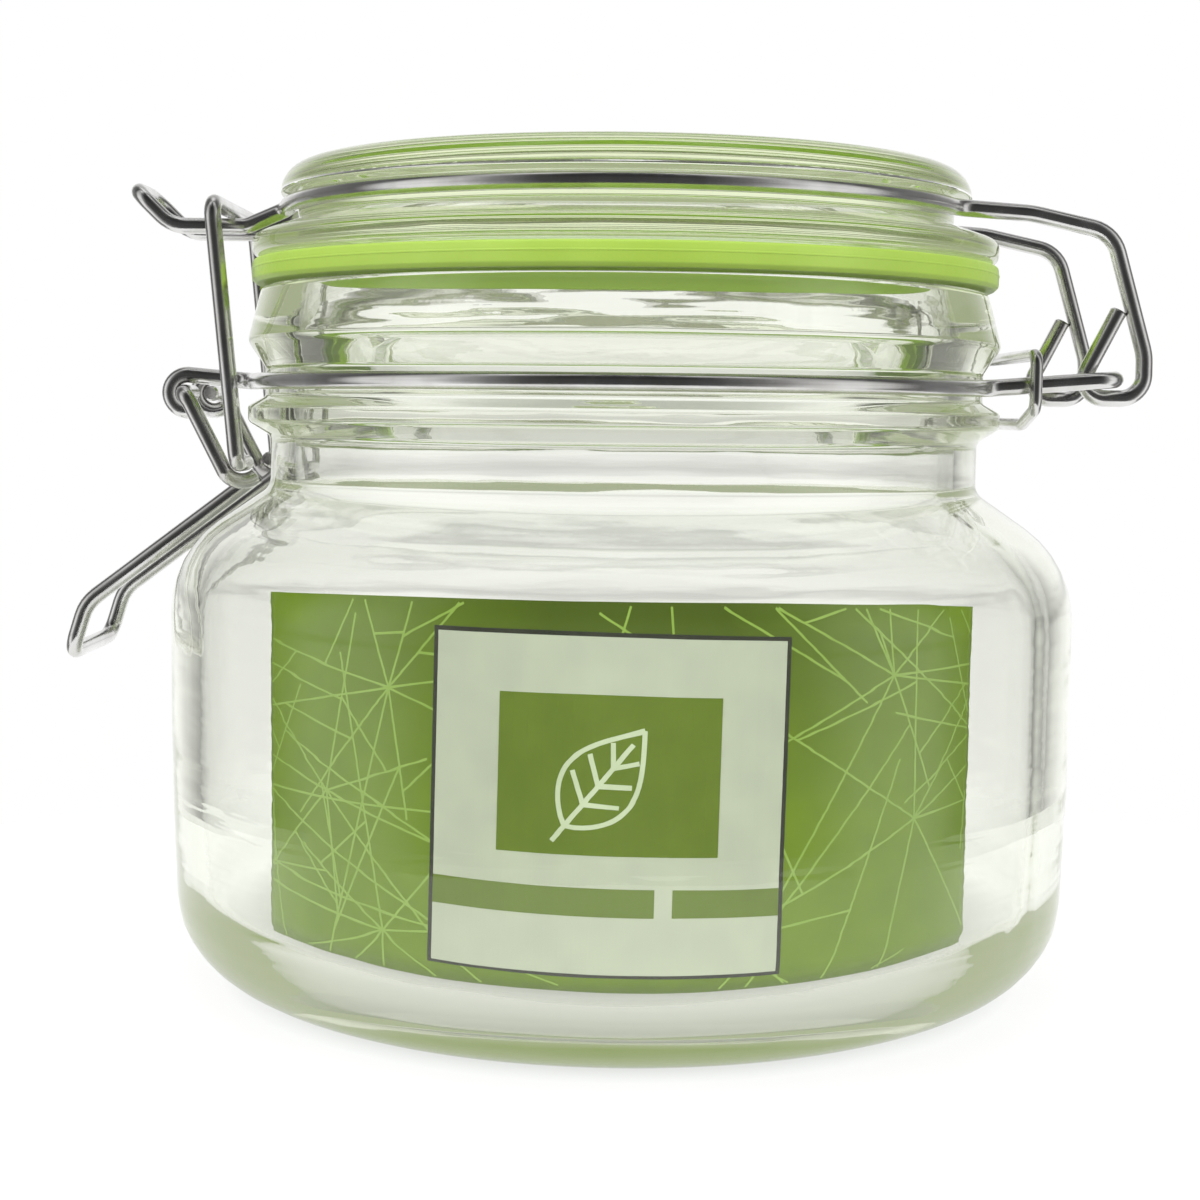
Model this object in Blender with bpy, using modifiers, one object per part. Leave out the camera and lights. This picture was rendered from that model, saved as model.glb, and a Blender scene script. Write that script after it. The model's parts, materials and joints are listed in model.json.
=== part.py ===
"""Bail clamp jar: a half-litre preserving jar of clear glass with a hinged glass lid, a
rubber gasket and a wire over-centre clasp, and the printed card it is sold with inside.

Metres, +Z up.  The origin is on the jar's axis at its base.  The hinge is at +X, the clasp
at -X, and the card faces -Y.  The jar is symmetric about the XZ plane, card apart.
"""

import math

import bpy
from mathutils import Matrix, Vector

MM = 0.001
GAP = 0.3 * MM            # between pieces that rest on each other
HOOK_PLAY = 0.2 * MM      # between a hooked wire and the wire it turns on
WIRE = 1.9 * MM           # diameter of the four working wires
KEEPER_WIRE = 1.4 * MM
TURNED_STEPS = 48         # facets round a turned piece

# Jar
BODY_R = 53.9 * MM
HEEL_R = 53.1 * MM
WALL = 3.2 * MM
NECK_R = 42.3 * MM
BORE_R = 39.2 * MM
BEAD_R = 44.9 * MM
RIM_R = 43.1 * MM
RIM_Z = 81.3 * MM
NECK_FOOT_Z = 58.0 * MM
SHOULDER_Z = 50.0 * MM
TAPER_Z = 24.0 * MM
FLOOR_Z = 5.0 * MM

# Gasket and lid
GASKET_T = 2.7 * MM
GASKET_R = 44.3 * MM
GASKET_BORE_R = 36.8 * MM
LIP_R = 37.8 * MM
LIP_DEPTH = 2.8 * MM
FLANGE_R = 44.2 * MM
FLANGE_T = 2.5 * MM
PLUG_R = 36.5 * MM
PLUG_DEPTH = 4.0 * MM
DOME_R = 40.9 * MM
TOP_Z = 95.6 * MM
DISH_R = 32.5 * MM
DISH_DEPTH = 0.7 * MM

# Wires: ring heights and radii, then the points that the mechanism turns on, as (x, z)
NECK_RING_R = 44.1 * MM
NECK_RING_Z = 70.2 * MM
LID_RING_R = 40.15 * MM
LID_RING_Z = 90.5 * MM
HINGE = (55.6 * MM, 71.4 * MM)
PIVOT = (-51.1 * MM, 68.8 * MM)
CRANK = (-44.3 * MM, 60.7 * MM)
NOSE_Z = 88.4 * MM
LINK_BAR = (-47.1 * MM, NOSE_Z + WIRE + HOOK_PLAY)
HANDLE_BEND = (-63.0 * MM, 44.0 * MM)
HANDLE_END = (-64.8 * MM, 38.2 * MM)

# Planes of the wires, as distances from the XZ plane
SIDE_STEP = WIRE + GAP
NOSE_Y = 5.0 * MM
EYE_Y = 7.9 * MM
HANDLE_Y = 9.4 * MM
ARM_Y = HANDLE_Y + SIDE_STEP
LINK_Y = ARM_Y + SIDE_STEP
HOOK_Y = 15.1 * MM
LEG_Y = 17.7 * MM
LOOP_R = WIRE + HOOK_PLAY  # centreline radius of an eye or coil round another wire

# Card
CARD_R = 46.0 * MM
CARD_T = 0.5 * MM
CARD_WIDTH = 87.0 * MM
CARD_HEIGHT = 40.5 * MM
CARD_MID_Z = 27.8 * MM
CARD_TILT = math.radians(0.3)
CARD_CROWN = 0.07

# name: (red, green, blue), roughness, metallic, transmission
MATERIALS = {
    "jar_glass": ((0.90, 0.94, 0.91), 0.03, 0.0, 1.0),
    "lid_glass": ((0.88, 0.93, 0.89), 0.03, 0.0, 1.0),
    "gasket_rubber": ((0.36, 0.57, 0.09), 0.45, 0.0, 0.0),
    "steel_wire": ((0.70, 0.71, 0.70), 0.18, 1.0, 0.0),
    "keeper_wire": ((0.70, 0.71, 0.70), 0.22, 1.0, 0.0),
    "card_paper": ((0.22, 0.36, 0.06), 0.60, 0.0, 0.0),
}


def clear_scene():
    for obj in list(bpy.data.objects):
        bpy.data.objects.remove(obj, do_unlink=True)
    for group in list(bpy.data.collections):
        bpy.data.collections.remove(group)


def material(name, key):
    colour, roughness, metallic, transmission = MATERIALS[key]
    made = bpy.data.materials.new(name)
    made.use_nodes = True
    shader = made.node_tree.nodes["Principled BSDF"]
    shader.inputs["Base Color"].default_value = (*colour, 1.0)
    shader.inputs["Roughness"].default_value = roughness
    shader.inputs["Metallic"].default_value = metallic
    shader.inputs["Transmission Weight"].default_value = transmission
    return made


def add_object(name, data, key, origin=(0, 0, 0)):
    """Link an object whose points are given in the jar's frame, with its origin at origin."""
    origin = Vector(origin)
    data.transform(Matrix.Translation(-origin))
    obj = bpy.data.objects.new(name, data)
    obj.location = origin
    data.materials.append(material(name, key))
    bpy.data.collections["bail_clamp_jar"].objects.link(obj)
    return obj


def rounded(corners, steps=3):
    """A path through corners, each (point, radius), with an arc of that radius at each corner."""
    points = [Vector(corners[0][0])]
    for (before, _), (corner, radius), (after, _) in zip(corners, corners[1:], corners[2:]):
        corner = Vector(corner)
        back = (Vector(before) - corner).normalized()
        on = (Vector(after) - corner).normalized()
        turn = math.pi - back.angle(on)
        if radius == 0 or turn < 0.02:
            points.append(corner)
            continue
        reach = radius * math.tan(turn / 2)
        centre = corner + (back + on).normalized() * radius / math.cos(turn / 2)
        start = corner + back * reach - centre
        normal = start.cross(corner + on * reach - centre).normalized()
        count = max(2, round(steps * turn / (math.pi / 2)))
        points += [centre + Matrix.Rotation(turn * i / count, 3, normal) @ start
                   for i in range(count + 1)]
    points.append(Vector(corners[-1][0]))
    return points


def turned(name, corners, key, closed=False, steps=3):
    """A solid turned about the jar's axis from corners (radius, height, corner radius)."""
    outline = rounded([((r, 0, z), bend) for r, z, bend in corners], steps)
    mesh = bpy.data.meshes.new(name)
    count = len(outline)
    edges = [(i, i + 1) for i in range(count - 1)]
    if closed:
        edges.append((count - 1, 0))
    mesh.from_pydata(outline, edges, [])
    obj = add_object(name, mesh, key)
    screw = obj.modifiers.new("Turn", "SCREW")
    screw.steps = TURNED_STEPS
    screw.render_steps = TURNED_STEPS
    screw.use_merge_vertices = True
    screw.merge_threshold = 0.00001
    screw.use_smooth_shade = True
    return obj


def wire(name, points, diameter, key, cyclic=False, origin=(0, 0, 0)):
    curve = bpy.data.curves.new(name, "CURVE")
    curve.dimensions = "3D"
    curve.bevel_depth = diameter / 2
    curve.bevel_resolution = 2
    curve.use_fill_caps = True
    spline = curve.splines.new("POLY")
    spline.points.add(len(points) - 1)
    for knot, point in zip(spline.points, points):
        knot.co = (*point, 1.0)
    spline.use_cyclic_u = cyclic
    return add_object(name, curve, key, origin)


def mirrored(half):
    """The whole path of a wire whose half ends on the XZ plane or short of it."""
    other = [Vector((p.x, -p.y, p.z)) for p in reversed(half)]
    if abs(half[-1].y) < 1e-7:
        other = other[1:]
    return half + other


def arc(centre, radius, first, last, step, y_first, y_last=None):
    """Points round centre (x, z) in the XZ plane, angles in degrees, sliding along Y."""
    y_last = y_first if y_last is None else y_last
    count = max(1, math.ceil(abs(last - first) / step))
    points = []
    for i in range(count + 1):
        share = i / count
        angle = math.radians(first + (last - first) * share)
        points.append(Vector((centre[0] + radius * math.cos(angle),
                              y_first + (y_last - y_first) * share,
                              centre[1] + radius * math.sin(angle))))
    return points


def ring_side(radius, z, y_clasp, y_hinge, clasp_bend, hinge_bend):
    """Corners of half a neck ring, on the -Y side, from its clasp gap round to its hinge gap."""
    first = math.pi + math.asin(y_clasp / radius)
    last = 2 * math.pi - math.asin(y_hinge / radius)

    def on_ring(angle, bend):
        return ((radius * math.cos(angle), radius * math.sin(angle), z), bend)

    margin = math.radians(5)
    count = 20
    span = last - first - 2 * margin
    middle = [on_ring(first + margin + span * i / count, 0) for i in range(count + 1)]
    return [on_ring(first, clasp_bend)] + middle + [on_ring(last, hinge_bend)]


def jar_body():
    slope = (NECK_FOOT_Z - SHOULDER_Z) / (BODY_R - NECK_R)
    drop = WALL * math.hypot(1, slope)

    def inner_slope_z(radius):
        return NECK_FOOT_Z - drop - (radius - NECK_R) * slope

    inner_r = BODY_R - WALL
    groove_r = NECK_RING_R - WIRE / 2 - GAP
    corners = [
        (0, FLOOR_Z, 0),
        (HEEL_R - WALL, FLOOR_Z, 8.5 * MM),
        (inner_r, TAPER_Z, 0),
        (inner_r, inner_slope_z(inner_r), 10 * MM),
        (BORE_R, inner_slope_z(BORE_R), 3 * MM),
        (BORE_R, RIM_Z, 1.2 * MM),
        (RIM_R, RIM_Z, 1.0 * MM),
        (BEAD_R, 75.0 * MM, 1.4 * MM),
        (groove_r, 71.9 * MM, 0),
        (groove_r, 68.5 * MM, 0),
        (BEAD_R, 67.4 * MM, 0.5 * MM),
        (BEAD_R, 65.6 * MM, 0.8 * MM),
        (NECK_R, 63.9 * MM, 0),
        (NECK_R, NECK_FOOT_Z, 2 * MM),
        (BODY_R, SHOULDER_Z, 13 * MM),
        (BODY_R, TAPER_Z, 0),
        (HEEL_R, 0, 11 * MM),
        (0, 0, 0),
    ]
    return turned("jar_body", corners, "jar_glass", steps=5)


def gasket():
    """A flat ring with a thin lip that hangs into the neck round the lid's plug."""
    low = RIM_Z + GAP
    high = low + GASKET_T
    corners = [
        (GASKET_BORE_R, high, 0),
        (GASKET_R, high, 0),
        (GASKET_R, low + 0.7 * MM, 0),
        (GASKET_R - 0.8 * MM, low, 0),
        (LIP_R, low, 0),
        (LIP_R, low - LIP_DEPTH, 0),
        (GASKET_BORE_R, low - LIP_DEPTH, 0),
    ]
    return turned("gasket", corners, "gasket_rubber", closed=True)


def lid_glass():
    under = RIM_Z + GASKET_T + 2 * GAP
    flange_top = under + FLANGE_T
    groove_r = LID_RING_R - WIRE / 2 - GAP
    groove_low = LID_RING_Z - WIRE / 2 - 2 * GAP
    groove_high = LID_RING_Z + WIRE / 2 + GAP
    corners = [
        (0, TOP_Z - DISH_DEPTH, 0),
        (DISH_R - 1.5 * MM, TOP_Z - DISH_DEPTH, 0),
        (DISH_R, TOP_Z, 0),
        (DOME_R, TOP_Z, 3.4 * MM),
        (DOME_R, groove_high + 0.3 * MM, 0),
        (groove_r, groove_high, 0),
        (groove_r, groove_low, 0),
        (FLANGE_R, flange_top, 0.8 * MM),
        (FLANGE_R, under, 0),
        (PLUG_R, under, 0),
        (PLUG_R - 0.4 * MM, under - PLUG_DEPTH, 1.0 * MM),
        (0, under - PLUG_DEPTH, 0),
    ]
    return turned("lid_glass", corners, "lid_glass", steps=4)


def neck_wire():
    """One wire: an eye each side of the clasp, round the neck, and out into the hinge loop."""
    eye = arc(PIVOT, LOOP_R, -50, -270, 27, -EYE_Y)
    ring = ring_side(NECK_RING_R, NECK_RING_Z, EYE_Y, LEG_Y, 2.2 * MM, 3 * MM)
    x, z = HINGE
    loop = [((x, -LEG_Y, z), 2.4 * MM), ((x, 0, z), 0)]
    path = eye[:-1] + rounded([(eye[-1], 0)] + ring + loop)
    return wire("neck_wire", mirrored(path), WIRE, "steel_wire")


def lid_wire():
    """One wire: a hook each side of the hinge, round the lid, and out into the clasp's nose."""
    hook = [
        ((55.9 * MM, -HOOK_Y, 79.2 * MM), 0),
        ((50.9 * MM, -HOOK_Y, HINGE[1] - LOOP_R), 2.2 * MM),
        ((58.95 * MM, -HOOK_Y, HINGE[1] - LOOP_R), 2.6 * MM),
        ((58.9 * MM, -HOOK_Y, 74.2 * MM), 6 * MM),
        ((54.9 * MM, -HOOK_Y, 87.9 * MM), 4 * MM),
        ((45.8 * MM, -HOOK_Y, 89.9 * MM), 12 * MM),
    ]
    ring = ring_side(LID_RING_R, LID_RING_Z, NOSE_Y, HOOK_Y, 1.6 * MM, 3 * MM)
    nose = [
        ((-44.7 * MM, -NOSE_Y, NOSE_Z), 3 * MM),
        ((-53.5 * MM, -NOSE_Y, NOSE_Z), 4 * MM),
        ((-57.8 * MM, -NOSE_Y, 92.6 * MM), 2.6 * MM),
        ((-57.8 * MM, 0, 92.6 * MM), 0),
    ]
    path = rounded(hook + ring[::-1] + nose)
    origin = (HINGE[0], 0, HINGE[1])
    return wire("lid_wire", mirrored(path), WIRE, "steel_wire", origin=origin)


def tangent_from(point, centre, radius):
    """Angle in degrees at which a line from point meets the low side of a circle."""
    dx, dz = point[0] - centre[0], point[1] - centre[1]
    spread = math.acos(radius / math.hypot(dx, dz))
    return math.degrees(math.atan2(dz, dx) + spread)


def clasp_lever():
    """One wire: a pivot stub, an arm, a turn round the link's foot, and the handle."""
    x, z = PIVOT
    stub = rounded([((x, -EYE_Y + 2.4 * MM, z), 0), ((x, -ARM_Y, z), 1.5 * MM),
                    ((CRANK[0], -ARM_Y, CRANK[1]), 0)])[:-1]
    meet = tangent_from(PIVOT, CRANK, LOOP_R)
    leave = 360 + tangent_from(HANDLE_BEND, CRANK, -LOOP_R)
    coil = arc(CRANK, LOOP_R, meet, leave, 25, -ARM_Y, -HANDLE_Y)
    handle = rounded([
        (coil[-1], 0),
        ((HANDLE_BEND[0], -HANDLE_Y, HANDLE_BEND[1]), 5 * MM),
        ((HANDLE_END[0], -HANDLE_Y, HANDLE_END[1]), 2.2 * MM),
        ((HANDLE_END[0], 0, HANDLE_END[1]), 0),
    ])
    path = stub + coil[:-1] + handle
    return wire("clasp_lever", mirrored(path), WIRE, "steel_wire", origin=(x, 0, z))


def clasp_link():
    """The bail: a foot through each of the lever's coils and a bar over the lid's nose."""
    x, z = CRANK
    path = rounded([
        ((x, -EYE_Y, z), 0),
        ((x, -LINK_Y, z), 1.5 * MM),
        ((LINK_BAR[0], -LINK_Y, LINK_BAR[1]), 2.2 * MM),
        ((LINK_BAR[0], 0, LINK_BAR[1]), 0),
    ])
    return wire("clasp_link", mirrored(path), WIRE, "steel_wire", origin=(x, 0, z))


def hinge_keeper():
    """A loop of thinner wire that holds the neck wire's two legs together at the neck."""
    x = BEAD_R + KEEPER_WIRE / 2 + GAP
    side = LEG_Y + WIRE / 2 + GAP + KEEPER_WIRE / 2
    high, low, dip = 74.0 * MM, 68.0 * MM, 66.2 * MM
    half = rounded([
        ((x, 0, high), 0),
        ((x, -side, high), 1.5 * MM),
        ((x, -side, low), 1.5 * MM),
        ((x, -0.6 * side, dip), 6 * MM),
        ((x, 0, dip), 0),
    ])
    loop = mirrored(half)[:-1]
    return wire("hinge_keeper", loop, KEEPER_WIRE, "keeper_wire", cyclic=True)


def card_insert():
    """A printed card rolled against the wall, cut a little lower towards its two ends."""
    across, up = 28, 2
    rows = []
    for j in range(up + 1):
        for i in range(across + 1):
            s = CARD_WIDTH * (i / across - 0.5)
            t = CARD_HEIGHT * (j / up - 0.5) * (1 - CARD_CROWN * (2 * s / CARD_WIDTH) ** 2)
            along = s * math.cos(CARD_TILT) + t * math.sin(CARD_TILT)
            z = CARD_MID_Z + t * math.cos(CARD_TILT) - s * math.sin(CARD_TILT)
            angle = along / CARD_R
            rows.append((CARD_R * math.sin(angle), -CARD_R * math.cos(angle), z))
    wide = across + 1
    faces = [(j * wide + i, j * wide + i + 1, (j + 1) * wide + i + 1, (j + 1) * wide + i)
             for j in range(up) for i in range(across)]
    mesh = bpy.data.meshes.new("card_insert")
    mesh.from_pydata(rows, [], faces)
    obj = add_object("card_insert", mesh, "card_paper")
    thick = obj.modifiers.new("Card", "SOLIDIFY")
    thick.thickness = CARD_T
    thick.offset = -1
    return obj


def main():
    clear_scene()
    group = bpy.data.collections.new("bail_clamp_jar")
    bpy.context.scene.collection.children.link(group)
    jar_body()
    gasket()
    lid_glass()
    neck_wire()
    lid_wire()
    clasp_lever()
    clasp_link()
    hinge_keeper()
    card_insert()


main()
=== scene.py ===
"""Looks of the bail clamp jar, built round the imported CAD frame.

Every length is in metres and every place is in the CAD frame: the origin is on the jar's axis
at its base, +Z is up, the hinge is at +X, the clasp at -X and the card faces -Y.
"""

import json
import math
import random

import bpy
import bmesh
from mathutils import Matrix, Vector


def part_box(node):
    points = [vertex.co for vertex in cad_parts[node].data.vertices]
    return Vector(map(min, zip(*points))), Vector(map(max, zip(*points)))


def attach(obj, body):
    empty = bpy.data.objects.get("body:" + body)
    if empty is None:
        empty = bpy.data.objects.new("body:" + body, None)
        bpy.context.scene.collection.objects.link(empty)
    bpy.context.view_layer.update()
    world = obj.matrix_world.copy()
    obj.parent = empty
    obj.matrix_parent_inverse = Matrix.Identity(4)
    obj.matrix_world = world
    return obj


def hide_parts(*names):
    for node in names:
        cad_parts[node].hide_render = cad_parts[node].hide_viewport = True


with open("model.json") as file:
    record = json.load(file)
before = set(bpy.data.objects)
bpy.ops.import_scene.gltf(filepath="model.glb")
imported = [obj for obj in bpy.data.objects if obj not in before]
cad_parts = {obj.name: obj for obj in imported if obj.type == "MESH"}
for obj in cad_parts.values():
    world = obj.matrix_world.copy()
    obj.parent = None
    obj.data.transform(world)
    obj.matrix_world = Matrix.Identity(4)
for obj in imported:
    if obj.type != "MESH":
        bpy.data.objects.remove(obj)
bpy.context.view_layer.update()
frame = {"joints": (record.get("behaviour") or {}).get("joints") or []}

MM = 0.001
TURNED_STEPS = 144
WIRE_SIDES = 16

# Sizes read from the frame
JAR_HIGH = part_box("jar_body")[1]
LID_LOW, LID_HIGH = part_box("lid_glass")
GASKET_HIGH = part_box("gasket")[1]
JOINTS = {joint["name"]: Vector(joint["pos_m"]) for joint in frame["joints"]}
HINGE = JOINTS["lid_hinge"]
PIVOT = JOINTS["lever_pivot"]
CRANK = JOINTS["link_swing"]

# Sizes that the frame's boxes don't give, as in the CAD model
GAP = 0.3 * MM
HOOK_PLAY = 0.2 * MM
WIRE = 1.9 * MM
KEEPER_WIRE = 1.4 * MM
BODY_R = JAR_HIGH.x
HEEL_R = 53.1 * MM
WALL = 3.2 * MM
NECK_R = 42.3 * MM
BORE_R = 39.2 * MM
BEAD_R = 44.9 * MM
RIM_R = 43.1 * MM
RIM_Z = JAR_HIGH.z
RIM_FOOT_Z = 75.0 * MM
GROOVE_HIGH_Z = 71.9 * MM
GROOVE_LOW_Z = 68.5 * MM
BEAD_HIGH_Z = 67.4 * MM
BEAD_LOW_Z = 65.6 * MM
NECK_TOP_Z = 63.9 * MM
NECK_FOOT_Z = 58.0 * MM
SHOULDER_Z = 50.0 * MM
TAPER_Z = 24.0 * MM
FLOOR_Z = 5.0 * MM
FOOT_R = 38.5 * MM
PUSH_UP = 1.5 * MM
GASKET_BORE_R = 36.8 * MM
LIP_R = 37.8 * MM
LIP_DEPTH = 2.8 * MM
GASKET_R = GASKET_HIGH.x
FLANGE_R = LID_HIGH.x
FLANGE_T = 2.5 * MM
PLUG_R = 36.5 * MM
PLUG_DEPTH = 4.0 * MM
DOME_R = 40.9 * MM
TOP_Z = LID_HIGH.z
DISH_R = 32.5 * MM
DISH_DEPTH = 0.7 * MM
NECK_RING_R = 44.1 * MM
NECK_RING_Z = 70.2 * MM
LID_RING_R = 40.15 * MM
LID_RING_Z = 90.5 * MM
NOSE_Z = 88.4 * MM
LINK_BAR = (-47.1 * MM, NOSE_Z + WIRE + HOOK_PLAY)
HANDLE_BEND = (-63.0 * MM, 44.0 * MM)
HANDLE_END = (-64.8 * MM, 38.2 * MM)
SIDE_STEP = WIRE + GAP
NOSE_Y = 5.0 * MM
EYE_Y = 7.9 * MM
HANDLE_Y = 9.4 * MM
ARM_Y = HANDLE_Y + SIDE_STEP
LINK_Y = ARM_Y + SIDE_STEP
HOOK_Y = 15.1 * MM
LEG_Y = 17.7 * MM
LOOP_R = WIRE + HOOK_PLAY
CARD_R = 46.0 * MM
CARD_T = 0.5 * MM
CARD_WIDTH = 87.0 * MM
CARD_HEIGHT = 40.5 * MM
CARD_MID_Z = 27.8 * MM
CARD_TILT = math.radians(0.3)
CARD_CROWN = 0.07
PANEL_TURN = math.radians(0.8)
PANEL_LEFT, PANEL_RIGHT = -18.9 * MM, 16.6 * MM
PANEL_LOW, PANEL_HIGH = -17.5 * MM, 16.9 * MM
PANEL_WIDTH = PANEL_RIGHT - PANEL_LEFT
PANEL_HEIGHT = PANEL_HIGH - PANEL_LOW
SQUARE_LEFT = PANEL_LEFT + PANEL_WIDTH * 0.19
SQUARE_LOW = PANEL_LOW + PANEL_HEIGHT * 0.36
SQUARE_WIDTH, SQUARE_HEIGHT = 22.2 * MM, 16.3 * MM
BAND_LOW = PANEL_LOW + PANEL_HEIGHT * 0.18
BAND_HIGH = BAND_LOW + 2.9 * MM
BAND_BREAK = PANEL_LEFT + PANEL_WIDTH * 0.64
BREAK_WIDTH = 1.8 * MM


# ---------------------------------------------------------------- paths and meshes

def rounded(corners, steps=10):
    """A path through corners, each (point, radius), with an arc of that radius at each corner."""
    points = [Vector(corners[0][0])]
    for (before, _), (corner, radius), (after, _) in zip(corners, corners[1:], corners[2:]):
        corner = Vector(corner)
        back = (Vector(before) - corner).normalized()
        on = (Vector(after) - corner).normalized()
        turn = math.pi - back.angle(on)
        if radius == 0 or turn < 0.005:
            points.append(corner)
            continue
        reach = radius * math.tan(turn / 2)
        centre = corner + (back + on).normalized() * radius / math.cos(turn / 2)
        start = corner + back * reach - centre
        normal = start.cross(corner + on * reach - centre).normalized()
        count = max(3, round(steps * turn / (math.pi / 2)))
        points += [centre + Matrix.Rotation(turn * i / count, 3, normal) @ start
                   for i in range(count + 1)]
    points.append(Vector(corners[-1][0]))
    return points


def mirrored(half):
    """A path on the -Y side, carried on by its mirror image on the +Y side."""
    other = [Vector((p.x, -p.y, p.z)) for p in reversed(half)]
    if abs(half[-1].y) < 1e-7:
        other = other[1:]
    return half + other


def arc(centre, radius, first, last, step, y_first, y_last=None):
    """Points round centre (x, z) in the XZ plane, angles in degrees, sliding along Y."""
    y_last = y_first if y_last is None else y_last
    count = max(1, math.ceil(abs(last - first) / step))
    points = []
    for i in range(count + 1):
        share = i / count
        angle = math.radians(first + (last - first) * share)
        points.append(Vector((centre[0] + radius * math.cos(angle),
                              y_first + (y_last - y_first) * share,
                              centre[1] + radius * math.sin(angle))))
    return points


def ring_side(radius, z, y_clasp, y_hinge, clasp_bend, hinge_bend):
    """Corners of half a neck ring, on the -Y side, from its clasp gap round to its hinge gap."""
    first = math.pi + math.asin(y_clasp / radius)
    last = 2 * math.pi - math.asin(y_hinge / radius)

    def on_ring(angle, bend):
        return ((radius * math.cos(angle), radius * math.sin(angle), z), bend)

    margin = math.radians(5)
    count = 90
    span = last - first - 2 * margin
    middle = [on_ring(first + margin + span * i / count, 0) for i in range(count + 1)]
    return [on_ring(first, clasp_bend)] + middle + [on_ring(last, hinge_bend)]


def tangent_from(point, centre, radius):
    """Angle in degrees at which a line from point meets the low side of a circle."""
    dx, dz = point[0] - centre[0], point[1] - centre[1]
    spread = math.acos(radius / math.hypot(dx, dz))
    return math.degrees(math.atan2(dz, dx) + spread)


def new_object(name, mesh, materials):
    obj = bpy.data.objects.new(name, mesh)
    bpy.context.scene.collection.objects.link(obj)
    for made in materials:
        mesh.materials.append(made)
    return obj


def turned(name, corners, made, closed=False, steps=10, warp=None):
    """A solid turned about the jar's axis from corners (radius, height, corner radius).

    warp(radius, angle, height) may move a point a little, for mould seams and the like."""
    outline = rounded([((r, 0, z), bend) for r, z, bend in corners], steps)
    bm = bmesh.new()
    rings = []
    for p in outline:
        if p.x < 1e-6:
            rings.append([bm.verts.new((0, 0, p.z))])
            continue
        ring = []
        for i in range(TURNED_STEPS):
            angle = 2 * math.pi * i / TURNED_STEPS
            r, z = (p.x, p.z) if warp is None else warp(p.x, angle, p.z)
            ring.append(bm.verts.new((r * math.cos(angle), r * math.sin(angle), z)))
        rings.append(ring)
    pairs = list(zip(rings, rings[1:]))
    if closed:
        pairs.append((rings[-1], rings[0]))
    for upper, lower in pairs:
        for i in range(TURNED_STEPS):
            j = (i + 1) % TURNED_STEPS
            if len(upper) == 1:
                bm.faces.new((upper[0], lower[i], lower[j]))
            elif len(lower) == 1:
                bm.faces.new((upper[i], lower[0], upper[j]))
            else:
                bm.faces.new((upper[i], lower[i], lower[j], upper[j]))
    bmesh.ops.recalc_face_normals(bm, faces=bm.faces)
    for face in bm.faces:
        face.smooth = True
    mesh = bpy.data.meshes.new(name)
    bm.to_mesh(mesh)
    bm.free()
    return new_object(name, mesh, [made])


def swept(name, points, diameter, made, closed=False):
    """A round wire along points, with U along its length and V round it, and chamfered ends."""
    count = len(points)
    if closed:
        tangents = [(points[(i + 1) % count] - points[i - 1]).normalized() for i in range(count)]
    else:
        tangents = [(points[min(i + 1, count - 1)] - points[max(i - 1, 0)]).normalized()
                    for i in range(count)]
    side = tangents[0].orthogonal().normalized()
    sections = []
    for i, (point, tangent) in enumerate(zip(points, tangents)):
        side = (side - tangent * side.dot(tangent)).normalized()
        sections.append((point, tangent, side.copy(), diameter / 2))
    if closed:
        twist = sections[0][2].angle(side) * math.copysign(
            1, tangents[0].dot(side.cross(sections[0][2])))
        sections = [(p, t, Matrix.Rotation(twist * i / count, 3, t) @ s, r)
                    for i, (p, t, s, r) in enumerate(sections)]
    else:
        chamfer = diameter * 0.12
        (p, t, s, r), (q, u, v, _) = sections[0], sections[-1]
        sections[0] = (p + t * chamfer, t, s, r)
        sections[-1] = (q - u * chamfer, u, v, r)
        sections.insert(0, (p, t, s, r - chamfer))
        sections.append((q, u, v, r - chamfer))
    bm = bmesh.new()
    uv = bm.loops.layers.uv.new("UVMap")
    rings, lengths, run = [], [], 0.0
    for i, (p, t, s, r) in enumerate(sections):
        if i:
            run += (p - sections[i - 1][0]).length
        lengths.append(run)
        other = t.cross(s)
        rings.append([bm.verts.new(p + (s * math.cos(a) + other * math.sin(a)) * r)
                      for a in (2 * math.pi * k / WIRE_SIDES for k in range(WIRE_SIDES))])
    pairs = [(i, i + 1) for i in range(len(rings) - 1)]
    if closed:
        pairs.append((len(rings) - 1, 0))
        lengths.append(run + (sections[0][0] - sections[-1][0]).length)
    for a, b in pairs:
        u1 = lengths[b] if b else lengths[-1]
        for k in range(WIRE_SIDES):
            n = (k + 1) % WIRE_SIDES
            face = bm.faces.new((rings[a][k], rings[a][n], rings[b][n], rings[b][k]))
            face.smooth = True
            around = (k / WIRE_SIDES, (k + 1) / WIRE_SIDES)
            for loop, (u, v) in zip(face.loops, ((lengths[a], around[0]), (lengths[a], around[1]),
                                                 (u1, around[1]), (u1, around[0]))):
                loop[uv].uv = (u / (math.pi * diameter), v)
    if not closed:
        bm.faces.new(rings[0])
        bm.faces.new(rings[-1][::-1])
    bmesh.ops.recalc_face_normals(bm, faces=bm.faces)
    mesh = bpy.data.meshes.new(name)
    bm.to_mesh(mesh)
    bm.free()
    mesh.set_sharp_from_angle(angle=math.radians(35))
    return new_object(name, mesh, [made])


def place(obj, body, node):
    """The piece stands for a CAD node, whose part is hidden, and rides on its body."""
    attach(obj, body)
    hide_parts(node)


# ---------------------------------------------------------------- materials

def linear(red, green, blue):
    """A colour as read on a screen, 0 to 255, in Blender's linear values."""
    return tuple(((c / 255 + 0.055) / 1.055) ** 2.4 if c > 10.31 else c / 255 / 12.92
                 for c in (red, green, blue)) + (1.0,)


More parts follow.
